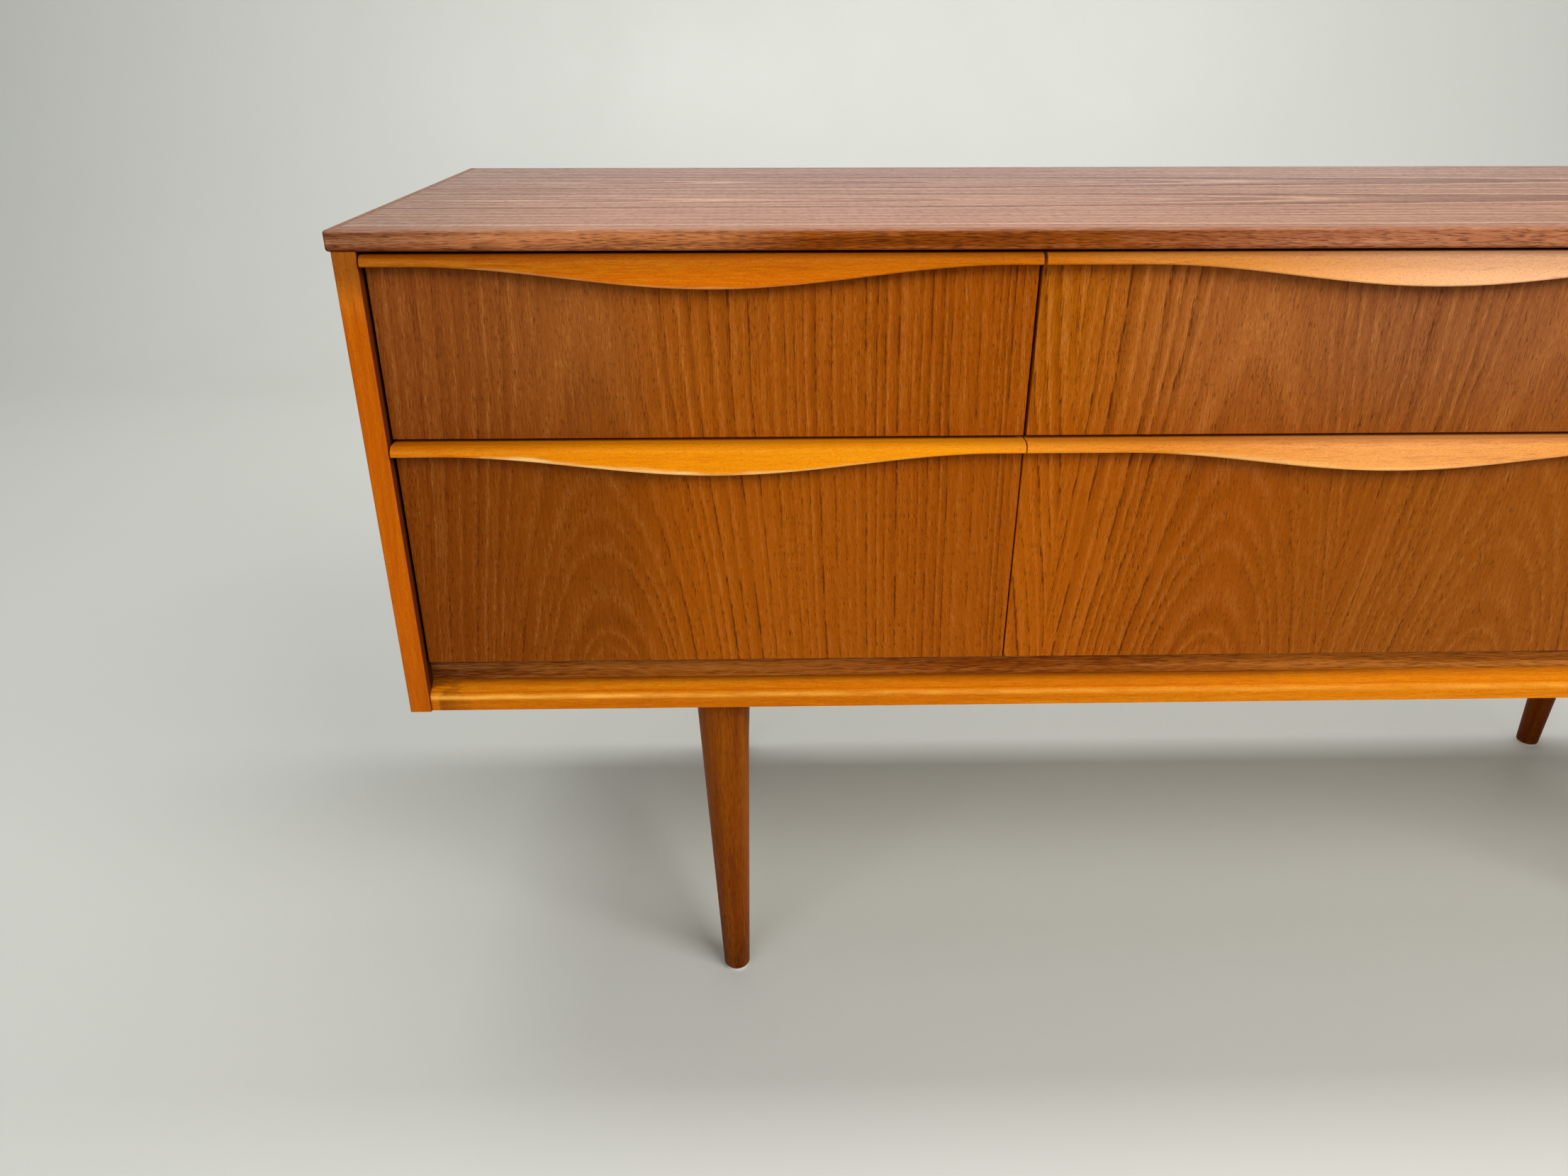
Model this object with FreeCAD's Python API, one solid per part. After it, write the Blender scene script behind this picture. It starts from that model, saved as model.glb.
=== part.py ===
import FreeCAD, Part
import math
import os

from FreeCAD import Vector

# Long low dresser: three columns of two drawers in a veneered case on four turned legs.
# Millimetres. Origin at the middle of the footprint on the floor, +X to the right, +Z up,
# and the drawer fronts face -Y.

# Case
LENGTH = 1620.0                # over the outer faces of the two side panels
CASE_DEPTH = 446.0             # side panels, front to back
BOARD = 18.0                   # thickness of the side panels and the partitions
SIDE_BOTTOM = 333.4            # lower edge of the side panels
LIPPING = 8.0                  # solid wood edging on the boards
LIPPING_ROUND = 1.2

# Top slab
SLAB_BOTTOM = 720.5
SLAB_THICKNESS = 15.0
SLAB_OVERHANG = 3.7            # past each side panel
SLAB_PROUD = 0.7               # past the front of the side panels
SLAB_CORNER = 3.0              # rounding of the corners seen from above
SLAB_ROUND = 2.4               # rounding of the upper and lower edges

# Floor of the case, its front rail and the fascia under the lower drawers
RAIL_SETBACK = 3.0
RAIL_BOTTOM = 333.0
RAIL_NOSE_TOP = 345.0
RAIL_TURN = (4.1, 347.9)       # halfway round the nose: from the case front, and height
RAIL_SHOULDER = (7.0, 349.2)
RAIL_BACK = (18.0, 356.0)
RAIL_DEPTH = 24.0
FLOOR_THICKNESS = 15.0
FLOOR_TOP = 356.0
FASCIA_SETBACK = 18.0
FASCIA_THICKNESS = 14.0
FASCIA_TOP = 373.0
PARTITION_SETBACK = 34.0
BACK_THICKNESS = 5.0
BACK_INSET = 3.0               # back panel, from the rear edge of the side panels
CLEAT = 18.0                   # square battens that hold the top slab down
CLEAT_START = 40.0
CLEAT_END_GAP = 12.0

# Drawers
MIDDLE_WIDTH = 592.0           # middle column, between the centres of its two gaps
END_GAP = 1.8                  # drawer front to side panel
FRONT_SETBACK = 9.0            # drawer fronts behind the edge of the side panels
FRONT_THICKNESS = 18.0
FRONT_ROUND = 0.6
ROWS = {                       # lower edge, top of the handle, gap between columns, box top
    "upper": (577.5, 718.3, 2.6, 696.0),
    "lower": (377.6, 574.6, 1.2, 552.0),
}
BOX_RAISE = 8.0                # box sides above the lower edge of the front
BOX_DEPTH = 385.0              # behind the front
BOX_GAP = 2.0                  # box side to the case on each side
BOX_SIDE = 12.0
BOX_BACK = 10.0
BOX_BACK_DROP = 6.0            # back board below the top of the sides
BOTTOM_THICKNESS = 4.0
BOTTOM_RAISE = 6.0             # bottom panel above the lower edge of the box sides
BOTTOM_TONGUE = 5.0            # how far the bottom panel sits in its grooves
FIT = 0.2                      # clearance all round a panel in its groove
RUNNER_HEIGHT = 12.0
RUNNER_PROUD = 8.0             # runner, out of the wall that carries it
RUNNER_CLEARANCE = 0.4
RUNNER_SETBACK = 32.0          # front end of the runner, from the case front
RUNNER_LENGTH = 378.0

# Handles: a cap along the top of each front whose lip hangs down in a wave
CAP = 8.0                      # thickness of the cap over the front panel
LIP_PROUD = 12.0               # lip, out of the drawer front
LIP_THICKNESS = 5.4
CAP_ROUND = 6.2
LIP_END_HEIGHT = 8.2
WAVE_DEPTH = 16.6              # how much lower the lip hangs in its swell
WAVE_HALF_WIDTH = 220.0
WAVE_SHIFT = 6.0               # swells of the end columns, nearer the middle of the dresser
WAVE_SPANS = 16                # pieces that the swell's curve is drawn through
LIP_ROUND = 1.6                # front lower edge of the lip

# Legs: for each pair, the centre of the top from the case front and from the outer face of
# the side panel, and how much nearer the middle of the dresser the foot stands than the top
LEG_PAIRS = {
    "front": (37.8, 269.2, 7.4),
    "back": (420.0, 272.6, 0.0),
}
LEG_TOP_RADIUS = 24.0
LEG_FOOT_RADIUS = 12.8
FOOT_ROUND = 2.4
BLOCK_WIDTH = 110.0            # wooden block that packs the floor down to the leg's top
BLOCK_DEPTH = 62.0
BLOCK_SCREW_INSET = 14.0
BOLT_RADIUS = 4.0
BOLT_IN_LEG = 38.0
BOLT_IN_FLOOR = 12.0
GLIDE_THICKNESS = 2.5
GLIDE_RADIUS = 11.6
SCREW_RADIUS = 1.75
SCREW_HEAD_RADIUS = 3.6
SCREW_HEAD = 1.4
SCREW_HEAD_ROUND = 1.1
SCREW_IN_WOOD = 12.0
BACK_SCREWS_PER_ROW = 7
BACK_SCREW_INSET = 30.0        # end screws of a row, from the side panels
BACK_SCREW_DROP = 40.0         # top screws of a partition, below the slab
BACK_SCREW_SPACE = 40.0        # least distance between a row's screws and a partition's

# Worked out from the above
HANDLE_PAST_CASE = LIP_PROUD - FRONT_SETBACK
OVERALL_DEPTH = CASE_DEPTH + HANDLE_PAST_CASE
Y_BACK = OVERALL_DEPTH / 2
Y_CASE = Y_BACK - CASE_DEPTH
X_SIDE = LENGTH / 2
X_INSIDE = X_SIDE - BOARD
X_GAP = MIDDLE_WIDTH / 2
Y_PANEL = Y_BACK - BACK_INSET - BACK_THICKNESS
Y_FRONT = Y_CASE + FRONT_SETBACK
Y_BOX = Y_FRONT + FRONT_THICKNESS
FLOOR_BOTTOM = FLOOR_TOP - FLOOR_THICKNESS
LEG_TOP = RAIL_BOTTOM
COLUMNS = {                    # x of the two walls that carry a column's drawers
    "left": (-X_INSIDE, -X_GAP - BOARD / 2),
    "middle": (-X_GAP + BOARD / 2, X_GAP - BOARD / 2),
    "right": (X_GAP + BOARD / 2, X_INSIDE),
}


def board(x, y, z):
    """A plain board between pairs of x, y and z."""
    size = Vector(x[1] - x[0], y[1] - y[0], z[1] - z[0])
    return Part.makeBox(size.x, size.y, size.z, Vector(x[0], y[0], z[0]))


def direction(edge):
    """Unit direction of a straight edge, or a zero vector for a curved one."""
    if not isinstance(edge.Curve, (Part.Line, Part.LineSegment)):
        return Vector(0, 0, 0)
    first, last = edge.Vertexes[0].Point, edge.Vertexes[-1].Point
    return (last - first).normalize()


def extruded(wire_edges, along):
    """Solid from the closed outline of edges, pushed along a vector."""
    return Part.Face(Part.Wire(wire_edges)).extrude(along)


def polyline(points):
    """Straight edges through points."""
    return [Part.LineSegment(a, b).toShape() for a, b in zip(points, points[1:])]


def turned(radius, z, x, y, height):
    """Upright disc or cylinder."""
    return Part.makeCylinder(radius, height, Vector(x, y, z))


def slab():
    """The top slab in one piece, rounded on its ends and front."""
    x = (-X_SIDE - SLAB_OVERHANG, X_SIDE + SLAB_OVERHANG)
    y = (Y_CASE - SLAB_PROUD, Y_BACK)
    solid = board(x, y, (SLAB_BOTTOM, SLAB_BOTTOM + SLAB_THICKNESS))
    corners = [e for e in solid.Edges if abs(direction(e).z) > 0.9 and e.CenterOfMass.y < 0]
    solid = solid.makeFillet(SLAB_CORNER, corners)
    middle = SLAB_BOTTOM + SLAB_THICKNESS / 2
    rims = [
        e
        for e in solid.Edges
        if abs(e.CenterOfMass.z - middle) > SLAB_THICKNESS / 2 - 0.01 and e.CenterOfMass.y < Y_BACK - 1
    ]
    return solid.makeFillet(SLAB_ROUND, rims)


def top_parts():
    """Veneered slab core with a solid lipping on its front and on each end."""
    whole = slab()
    high = (SLAB_BOTTOM - 1, SLAB_BOTTOM + SLAB_THICKNESS + 1)
    far = X_SIDE + SLAB_OVERHANG
    y_core = Y_CASE - SLAB_PROUD + LIPPING
    x_core = far - LIPPING
    return {
        "top_panel": whole.common(board((-x_core, x_core), (y_core, Y_BACK), high)),
        "top_lipping_front": whole.common(board((-far, far), (Y_CASE - 2, y_core), high)),
        "top_lipping_left": whole.common(board((-far, -x_core), (y_core, Y_BACK), high)),
        "top_lipping_right": whole.common(board((x_core, far), (y_core, Y_BACK), high)),
    }


def side_parts(hand, sign):
    """Side panel and the solid lipping on its front edge."""
    x = sorted((sign * X_INSIDE, sign * X_SIDE))
    z = (SIDE_BOTTOM, SLAB_BOTTOM)
    y_core = Y_CASE + LIPPING
    lipping = board(x, (Y_CASE, y_core), z)
    edges = [e for e in lipping.Edges if abs(direction(e).z) > 0.9 and e.CenterOfMass.y < y_core - 1]
    return {
        f"side_panel_{hand}": board(x, (y_core, Y_BACK), z),
        f"side_lipping_{hand}": lipping.makeFillet(LIPPING_ROUND, edges),
    }


def front_rail():
    """Solid rail under the lower drawers: square below, rounded nose, top sloping up and back."""
    def at(setback, z):
        return Vector(-X_INSIDE, Y_CASE + setback, z)

    nose = at(RAIL_SETBACK, RAIL_NOSE_TOP)
    shoulder = at(*RAIL_SHOULDER)
    turn = at(*RAIL_TURN)
    outline = polyline([at(RAIL_DEPTH, FLOOR_TOP), at(RAIL_DEPTH, RAIL_BOTTOM),
                        at(RAIL_SETBACK, RAIL_BOTTOM), nose])
    outline.append(Part.Arc(nose, turn, shoulder).toShape())
    outline += polyline([shoulder, at(*RAIL_BACK), at(RAIL_DEPTH, FLOOR_TOP)])
    return extruded(outline, Vector(2 * X_INSIDE, 0, 0))


def case_parts():
    """The rest of the case: floor, rail, fascia, partitions, back, and the battens under the top."""
    inside = (-X_INSIDE, X_INSIDE)
    parts = {
        "floor_panel": board(inside, (Y_CASE + RAIL_DEPTH, Y_PANEL), (FLOOR_BOTTOM, FLOOR_TOP)),
        "front_rail": front_rail(),
        "lower_fascia": board(
            inside,
            (Y_CASE + FASCIA_SETBACK, Y_CASE + FASCIA_SETBACK + FASCIA_THICKNESS),
            (FLOOR_TOP, FASCIA_TOP),
        ),
        "back_panel": board(inside, (Y_PANEL, Y_PANEL + BACK_THICKNESS), (FLOOR_BOTTOM, SLAB_BOTTOM)),
    }
    y = (Y_CASE + PARTITION_SETBACK, Y_PANEL)
    for hand, sign in (("left", -1), ("right", 1)):
        x = (sign * X_GAP - BOARD / 2, sign * X_GAP + BOARD / 2)
        parts[f"partition_{hand}"] = board(x, y, (FLOOR_TOP, SLAB_BOTTOM))
    y = (Y_CASE + CLEAT_START, Y_PANEL - CLEAT_END_GAP)
    z = (SLAB_BOTTOM - CLEAT, SLAB_BOTTOM)
    cleats = []
    for low, high in COLUMNS.values():
        cleats.append(board((low, low + CLEAT), y, z))
        cleats.append(board((high - CLEAT, high), y, z))
    parts["top_cleats"] = Part.makeCompound(cleats)
    return parts


def box_heights(row):
    """Lower edge and top of a drawer box."""
    return ROWS[row][0] + BOX_RAISE, ROWS[row][3]


def runner_middle(row):
    """Height of the middle of a drawer's runners."""
    return sum(box_heights(row)) / 2


def runners(column):
    """The four hardwood strips that one column's drawers slide on."""
    low, high = COLUMNS[column]
    y = (Y_CASE + RUNNER_SETBACK, Y_CASE + RUNNER_SETBACK + RUNNER_LENGTH)
    y = (max(y[0], Y_CASE + PARTITION_SETBACK), y[1])
    strips = []
    for row in ROWS:
        z = (runner_middle(row) - RUNNER_HEIGHT / 2, runner_middle(row) + RUNNER_HEIGHT / 2)
        strips.append(board((low, low + RUNNER_PROUD), y, z))
        strips.append(board((high - RUNNER_PROUD, high), y, z))
    return Part.makeCompound(strips)


def front_span(row, column):
    """x of the two ends of a drawer front."""
    gap = ROWS[row][2] / 2
    ends = {
        "left": (-X_INSIDE + END_GAP, -X_GAP - gap),
        "middle": (-X_GAP + gap, X_GAP - gap),
        "right": (X_GAP + gap, X_INSIDE - END_GAP),
    }
    return ends[column]


def wave_cutter(x, middle, z_top):
    """Everything below the lip's lower edge: level tails with one smooth swell between them."""
    z_tail = z_top - LIP_END_HEIGHT
    y = Y_FRONT - LIP_PROUD - 1
    z_low = z_tail - 2 * WAVE_DEPTH
    points = []
    for i in range(WAVE_SPANS + 1):
        offset = WAVE_HALF_WIDTH * (2 * i / WAVE_SPANS - 1)
        drop = WAVE_DEPTH * (1 + math.cos(math.pi * offset / WAVE_HALF_WIDTH)) / 2
        points.append(Vector(middle + offset, y, z_tail - drop))
    wave = Part.BSplineCurve()
    wave.interpolate(Points=points, InitialTangent=Vector(1, 0, 0), FinalTangent=Vector(1, 0, 0))
    first, last = Vector(x[0] - 1, y, z_tail), Vector(x[1] + 1, y, z_tail)
    outline = polyline([first, points[0]]) + [wave.toShape()]
    outline += polyline([points[-1], last, Vector(last.x, y, z_low), Vector(first.x, y, z_low), first])
    return extruded(outline, Vector(0, LIP_THICKNESS + 2, 0))


def handle(row, column):
    """Cap over the drawer front with a hanging lip; the gap behind the lip takes the fingers."""
    x = front_span(row, column)
    middle = sum(x) / 2 + {"left": WAVE_SHIFT, "middle": 0.0, "right": -WAVE_SHIFT}[column]
    z_top = ROWS[row][1]
    y_lip = Y_FRONT - LIP_PROUD
    z_low = z_top - LIP_END_HEIGHT - 1.5 * WAVE_DEPTH

    def at(y, z):
        return Vector(x[0], y, z)

    turn = CAP_ROUND * (1 - math.sqrt(0.5))
    nose = at(y_lip, z_top - CAP_ROUND)
    crown = at(y_lip + CAP_ROUND, z_top)
    outline = [Part.Arc(nose, at(y_lip + turn, z_top - turn), crown).toShape()]
    outline += polyline([
        crown,
        at(Y_BOX, z_top),
        at(Y_BOX, z_top - CAP),
        at(y_lip + LIP_THICKNESS, z_top - CAP),
        at(y_lip + LIP_THICKNESS, z_low),
        at(y_lip, z_low),
        nose,
    ])
    solid = extruded(outline, Vector(x[1] - x[0], 0, 0)).cut(wave_cutter(x, middle, z_top))
    edges = [
        e
        for e in solid.Edges
        if abs(e.CenterOfMass.y - y_lip) < 0.01
        and e.BoundBox.XLength > 1
        and e.CenterOfMass.z < z_top - CAP_ROUND - 1
    ]
    return solid.makeFillet(LIP_ROUND, edges)


def drawer_parts(row, column):
    """The five parts of one drawer, named after its place."""
    x = front_span(row, column)
    z_low, z_top = ROWS[row][:2]
    box_low, box_top = box_heights(row)
    wall_low, wall_high = COLUMNS[column]
    outer = (wall_low + BOX_GAP, wall_high - BOX_GAP)
    inner = (outer[0] + BOX_SIDE, outer[1] - BOX_SIDE)
    y_end = Y_BOX + BOX_DEPTH
    tray_low = box_low + BOTTOM_RAISE
    tray_top = tray_low + BOTTOM_THICKNESS

    tray = board(
        (inner[0] - BOTTOM_TONGUE, inner[1] + BOTTOM_TONGUE),
        (Y_BOX - BOTTOM_TONGUE, y_end),
        (tray_low, tray_top),
    )
    tray_groove = board(
        (inner[0] - BOTTOM_TONGUE - FIT, inner[1] + BOTTOM_TONGUE + FIT),
        (Y_BOX - BOTTOM_TONGUE - FIT, y_end + 1),
        (tray_low - FIT, tray_top + FIT),
    )
    half_groove = RUNNER_HEIGHT / 2 + RUNNER_CLEARANCE
    groove_z = (runner_middle(row) - half_groove, runner_middle(row) + half_groove)
    groove_depth = RUNNER_PROUD - BOX_GAP + 1
    sides = []
    for a, b, groove in (
        (outer[0], inner[0], (outer[0] - 1, outer[0] + groove_depth)),
        (inner[1], outer[1], (outer[1] - groove_depth, outer[1] + 1)),
    ):
        side = board((a, b), (Y_BOX, y_end), (box_low, box_top)).cut(tray_groove)
        sides.append(side.cut(board(groove, (Y_BOX - 1, y_end + 1), groove_z)))

    front = board(x, (Y_FRONT, Y_BOX), (z_low, z_top - CAP))
    edges = [
        e
        for e in front.Edges
        if abs(e.CenterOfMass.y - Y_FRONT) < 0.01 and e.CenterOfMass.z < z_top - CAP - 1
    ]
    front = front.makeFillet(FRONT_ROUND, edges).cut(tray_groove)
    back = board(inner, (y_end - BOX_BACK, y_end), (tray_top + FIT, box_top - BOX_BACK_DROP))
    name = f"{row}_{column}"
    return {
        f"{name}_front": front,
        f"{name}_handle": handle(row, column),
        f"{name}_sides": Part.makeCompound(sides),
        f"{name}_back": back,
        f"{name}_bottom": tray,
    }


def leg(top, foot):
    """Turned tapering leg up to its block, leaning a little if its foot and top are offset."""
    height = LEG_TOP - GLIDE_THICKNESS
    lean = math.degrees(math.atan2(top[0] - foot[0], height))
    taper = (LEG_TOP_RADIUS - LEG_FOOT_RADIUS) / height
    spare = 6.0
    cone = Part.makeCone(
        LEG_FOOT_RADIUS - taper * spare,
        LEG_TOP_RADIUS + taper * spare,
        height + 2 * spare,
        Vector(foot[0], foot[1], GLIDE_THICKNESS - spare),
    )
    cone.rotate(Vector(foot[0], foot[1], GLIDE_THICKNESS), Vector(0, 1, 0), lean)
    reach = 4 * LEG_TOP_RADIUS
    keep = board((foot[0] - reach, foot[0] + reach), (foot[1] - reach, foot[1] + reach),
                 (GLIDE_THICKNESS, LEG_TOP))
    solid = cone.common(keep)
    rim = [e for e in solid.Edges if e.BoundBox.ZMax < GLIDE_THICKNESS + 0.01]
    return solid.makeFillet(FOOT_ROUND, rim)


def screw(x, y, z, towards):
    """Round-headed wood screw: its head stands on the point, its shank runs towards the wood."""
    away = Vector(towards) * -1
    shank = Part.makeCylinder(SCREW_RADIUS, SCREW_IN_WOOD, Vector(x, y, z), Vector(towards))
    head = Part.makeCylinder(SCREW_HEAD_RADIUS, SCREW_HEAD, Vector(x, y, z), away)
    rim = [e for e in head.Edges if (e.CenterOfMass - Vector(x, y, z)).dot(away) > SCREW_HEAD / 2]
    rim = [e for e in rim if isinstance(e.Curve, Part.Circle)]
    return shank.fuse(head.makeFillet(SCREW_HEAD_ROUND, rim))


def leg_parts():
    """Four legs on felt glides, and the blocks, bolts and screws that hold them to the floor panel."""
    parts = {}
    blocks, bolts, screws = [], [], []
    block_middle = {
        "front": Y_CASE + RAIL_DEPTH + BLOCK_DEPTH / 2,
        "back": Y_PANEL + BACK_THICKNESS - BLOCK_DEPTH / 2,
    }
    for depth, (setback, inset, lean) in LEG_PAIRS.items():
        for hand, sign in (("left", -1), ("right", 1)):
            y = Y_CASE + setback
            x = sign * (X_SIDE - inset)
            x_foot = x - sign * lean
            parts[f"leg_{depth}_{hand}"] = leg((x, y), (x_foot, y))
            parts[f"glide_{depth}_{hand}"] = turned(GLIDE_RADIUS, 0, x_foot, y, GLIDE_THICKNESS)
            half, mid = BLOCK_WIDTH / 2, block_middle[depth]
            blocks.append(board(
                (x - half, x + half),
                (mid - BLOCK_DEPTH / 2, mid + BLOCK_DEPTH / 2),
                (LEG_TOP, FLOOR_BOTTOM),
            ))
            bolts.append(turned(
                BOLT_RADIUS, LEG_TOP - BOLT_IN_LEG, x, y,
                BOLT_IN_LEG + FLOOR_BOTTOM - LEG_TOP + BOLT_IN_FLOOR,
            ))
            for dx in (BLOCK_SCREW_INSET - half, half - BLOCK_SCREW_INSET):
                for dy in (-BLOCK_DEPTH / 4, BLOCK_DEPTH / 4):
                    screws.append(screw(x + dx, mid + dy, LEG_TOP, (0, 0, 1)))
    parts["leg_blocks"] = Part.makeCompound(blocks)
    parts["leg_bolts"] = Part.makeCompound(bolts)
    parts["block_screws"] = Part.makeCompound(screws)
    return parts


def back_screws():
    """Screws round the back panel and down both partitions."""
    y = Y_PANEL + BACK_THICKNESS
    z_rows = (FLOOR_TOP - FLOOR_THICKNESS / 2, (FLOOR_TOP + SLAB_BOTTOM) / 2,
              SLAB_BOTTOM - BACK_SCREW_DROP)
    places = [(sign * X_GAP, z) for sign in (-1, 1) for z in z_rows]
    for i in range(BACK_SCREWS_PER_ROW):
        x = (2 * i / (BACK_SCREWS_PER_ROW - 1) - 1) * (X_INSIDE - BACK_SCREW_INSET)
        if min(abs(x - X_GAP), abs(x + X_GAP)) > BACK_SCREW_SPACE:
            places.append((x, z_rows[0]))
    return Part.makeCompound([screw(x, y, z, (0, -1, 0)) for x, z in places])


def all_parts():
    """Every part of the dresser, by name."""
    parts = top_parts()
    parts.update(side_parts("left", -1))
    parts.update(side_parts("right", 1))
    parts.update(case_parts())
    parts.update(leg_parts())
    parts["back_screws"] = back_screws()
    for column in COLUMNS:
        parts[f"runners_{column}"] = runners(column)
    for row in ROWS:
        for column in COLUMNS:
            parts.update(drawer_parts(row, column))
    return parts


os.makedirs("parts", exist_ok=True)
for name, shape in sorted(all_parts().items()):
    for solid in shape.Solids:
        if not solid.isValid() or solid.Volume <= 0:
            raise ValueError(f"{name} holds a solid that isn't sound")
    shape.exportStep(f"parts/{name}.step")
    print(f"{name}: {len(shape.Solids)} solid(s), {shape.Volume / 1000:.1f} cm3")
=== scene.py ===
"""Long low teak dresser: finishes, floor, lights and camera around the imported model."""
import math

import bpy
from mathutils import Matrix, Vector

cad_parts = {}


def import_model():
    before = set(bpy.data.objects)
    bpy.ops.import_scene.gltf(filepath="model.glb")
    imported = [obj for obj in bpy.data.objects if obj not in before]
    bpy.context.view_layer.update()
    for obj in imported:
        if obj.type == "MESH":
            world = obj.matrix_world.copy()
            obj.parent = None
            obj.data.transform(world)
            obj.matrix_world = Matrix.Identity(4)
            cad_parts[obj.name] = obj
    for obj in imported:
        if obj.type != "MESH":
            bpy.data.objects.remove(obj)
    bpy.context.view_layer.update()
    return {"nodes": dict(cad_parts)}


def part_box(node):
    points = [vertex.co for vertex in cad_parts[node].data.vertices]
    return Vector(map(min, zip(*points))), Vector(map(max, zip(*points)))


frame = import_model()
nodes = frame["nodes"]

# ---------------------------------------------------------------- sizes read from the frame
NOSE_HEIGHT = 0.0125  # of the rail's foremost line above its underside
SIDE_INNER = -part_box("side_panel_left")[1].x
CASE_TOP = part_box("side_panel_left")[1].z
SLAB_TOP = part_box("top_panel")[1].z
SIDE_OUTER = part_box("side_panel_right")[1].x
FRONT_FACE = -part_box("upper_left_front")[0].y
RAIL_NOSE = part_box("front_rail")[0].z + NOSE_HEIGHT
RAIL_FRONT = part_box("front_rail")[0].y


# ---------------------------------------------------------------- shader arithmetic
def colour(red, green, blue):
    """A display colour, 0 to 255, as the linear colour that shaders use."""
    return tuple((part / 255.0) ** 2.2 for part in (red, green, blue)) + (1.0,)


class Field:
    """A value that varies over a surface, so that sums of shader nodes read as arithmetic."""

    def __init__(self, shader, socket):
        self.shader = shader
        self.socket = socket

    def __add__(self, other):
        return self.shader.math("ADD", self, other)

    def __sub__(self, other):
        return self.shader.math("SUBTRACT", self, other)

    def __rsub__(self, other):
        return self.shader.math("SUBTRACT", other, self)

    def __mul__(self, other):
        return self.shader.math("MULTIPLY", self, other)

    def __truediv__(self, other):
        return self.shader.math("DIVIDE", self, other)

    def __pow__(self, other):
        return self.shader.math("POWER", self, other)

    __radd__ = __add__
    __rmul__ = __mul__

    def size(self):
        return self.shader.math("ABSOLUTE", self)

    def floor(self):
        return self.shader.math("FLOOR", self)

    def fraction(self):
        return self.shader.math("FRACT", self)

    def least(self, other):
        return self.shader.math("MINIMUM", self, other)

    def beyond(self, other):
        return self.shader.math("GREATER_THAN", self, other)

    def rise(self, start, end, low=0.0, high=1.0):
        """Goes smoothly from low to high as the value goes from start to end."""
        return self.shader.rise(self, start, end, low, high)


class Shader:
    """One material and the helpers that fill its node tree."""

    def __init__(self, name):
        self.material = bpy.data.materials.new(name)
        self.material.use_nodes = True
        self.tree = self.material.node_tree
        self.tree.nodes.clear()
        place = self.node("ShaderNodeTexCoord").outputs["Object"]
        parts = self.node("ShaderNodeSeparateXYZ", {"Vector": place}).outputs
        self.x, self.y, self.z = (Field(self, parts[axis]) for axis in "XYZ")

    def node(self, kind, inputs=None, **settings):
        node = self.tree.nodes.new(kind)
        for name, value in settings.items():
            setattr(node, name, value)
        for name, value in (inputs or {}).items():
            self.feed(node.inputs[name], value)
        return node

    def feed(self, socket, value):
        if isinstance(value, Field):
            value = value.socket
        if isinstance(value, bpy.types.NodeSocket):
            self.tree.links.new(value, socket)
        else:
            socket.default_value = value

    def math(self, operation, first, second=None):
        node = self.node("ShaderNodeMath", operation=operation)
        self.feed(node.inputs[0], first)
        if second is not None:
            self.feed(node.inputs[1], second)
        return Field(self, node.outputs[0])

    def rise(self, value, start, end, low=0.0, high=1.0):
        inputs = {"Value": value, "From Min": start, "From Max": end, "To Min": low, "To Max": high}
        node = self.node("ShaderNodeMapRange", inputs, interpolation_type="SMOOTHSTEP")
        return Field(self, node.outputs["Result"])

    def noise(self, a, b, c=0.0, detail=1.0, roughness=0.5):
        """Soft noise, 0 to 1, over two or three coordinates that are already scaled."""
        place = self.node("ShaderNodeCombineXYZ", {"X": a, "Y": b, "Z": c}).outputs[0]
        inputs = {"Vector": place, "Scale": 1.0, "Detail": detail, "Roughness": roughness}
        return Field(self, self.node("ShaderNodeTexNoise", inputs).outputs[0])

    def noise_along(self, a, detail=0.0):
        """Soft noise, 0 to 1, over one coordinate that is already scaled."""
        inputs = {"W": a, "Scale": 1.0, "Detail": detail}
        node = self.node("ShaderNodeTexNoise", inputs, noise_dimensions="1D")
        return Field(self, node.outputs[0])

    def chance(self, a):
        """A random value for each value of a."""
        node = self.node("ShaderNodeTexWhiteNoise", {"W": a}, noise_dimensions="1D")
        return Field(self, node.outputs["Value"])

    def blend(self, first, second, amount):
        """Goes from the first colour to the second as amount goes from 0 to 1."""
        node = self.node("ShaderNodeMix", data_type="RGBA")
        self.feed(node.inputs["Factor"], amount)
        self.feed(node.inputs[6], first)
        self.feed(node.inputs[7], second)
        return node.outputs[2]

    def finish(self, base, rough, height, relief, **constants):
        """The surface itself: colour, roughness and relief vary, the rest is constant."""
        bump = self.node("ShaderNodeBump", {"Height": height, "Distance": relief})
        inputs = {"Base Color": base, "Roughness": rough, "Normal": bump.outputs[0]}
        surface = self.node("ShaderNodeBsdfPrincipled", inputs)
        for name, value in constants.items():
            surface.inputs[name.replace("_", " ")].default_value = value
        output = self.node("ShaderNodeOutputMaterial")
        self.tree.links.new(surface.outputs[0], output.inputs["Surface"])
        return self.material


# ---------------------------------------------------------------- wood
VENEER_RELIEF = 0.00015
SOLID_RELIEF = 0.0001

# Streaks along the grain: how many across and along a metre, octaves of noise, and strength
FIBRE_SIZES = (
    (85.0, 1.6, 2.0, 1.0),
    (330.0, 11.0, 2.0, 1.7),
    (900.0, 45.0, 2.0, 2.8),
    (1900.0, 120.0, 1.0, 2.0),
)

# Where each part of a growth ring swells and fades, as fractions of the ring
LATE_WOOD = ((0.2, 0.8), (0.84, 0.98))
PORE_ROW = ((0.8, 0.88), (0.91, 0.99))
FIRST_GROWTH = ((0.02, 0.12), (0.16, 0.4))

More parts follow.
